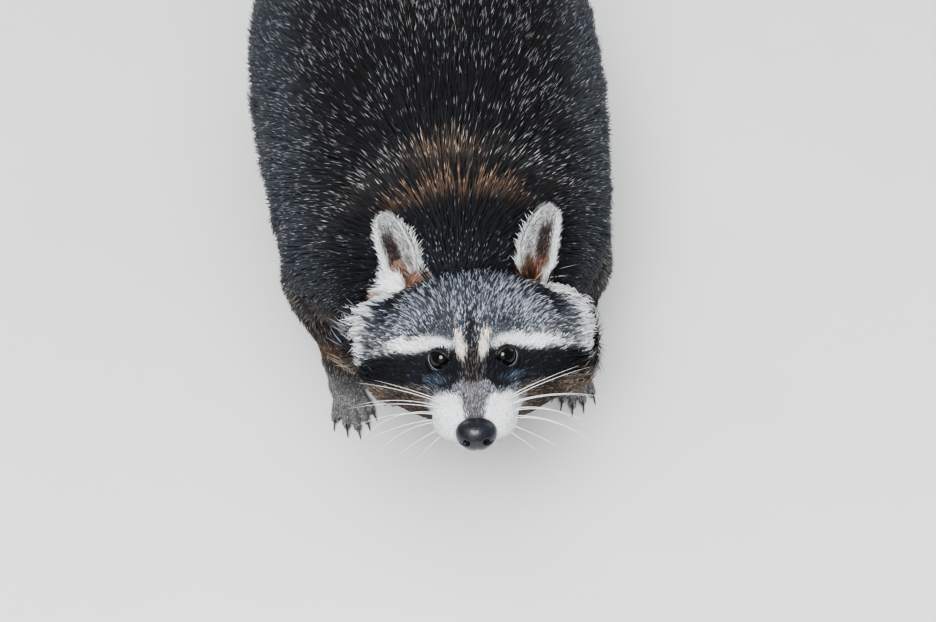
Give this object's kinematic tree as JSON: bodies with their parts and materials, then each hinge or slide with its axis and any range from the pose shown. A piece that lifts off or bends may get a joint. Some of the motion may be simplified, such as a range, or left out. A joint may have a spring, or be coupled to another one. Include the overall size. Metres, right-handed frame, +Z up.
{
  "type": "raccoon figure",
  "caption": "Life-size standing raccoon with its face turned up, masked head, cupped ears, clawed feet and a ringed bushy tail.",
  "frame": {"origin": "on the floor, under the middle of the object's box", "axes": "+Z up, +Y from the nose towards the tail, +X to the animal's left"},
  "size_m": [0.2704, 0.8486, 0.2617],
  "materials": {
    "coat_body": "deep dark grey-brown coat with pale flecks at the hair tips",
    "coat_face": "short coat, grey with a black mask and white brows and muzzle",
    "coat_pale": "short white hair of the chin",
    "coat_ear": "short pale hair with a dark back",
    "coat_tail": "bushy coat in dark and buff rings",
    "coat_leg": "shorter brown-grey coat",
    "foot": "bare dark soles and toes under short grey hair",
    "claw": "dark horn, smooth",
    "nose_leather": "moist, finely pebbled black leather",
    "eye": "wet dark brown eye",
    "whisker": "stiff white hair"
  },
  "bodies": {
    "root": {"head": "coat_face", "lower_jaw": "coat_pale", "nose": "nose_leather", "eye_left": "eye", "eye_right": "eye", "ear_left": "coat_ear", "ear_right": "coat_ear", "neck": "coat_body", "torso": "coat_body", "tail": "coat_tail", "foreleg_left": "coat_leg", "hindleg_left": "coat_leg", "forefoot_left": "foot", "hindfoot_left": "foot", "foreleg_right": "coat_leg", "hindleg_right": "coat_leg", "forefoot_right": "foot", "hindfoot_right": "foot"}
  },
  "joints": []
}
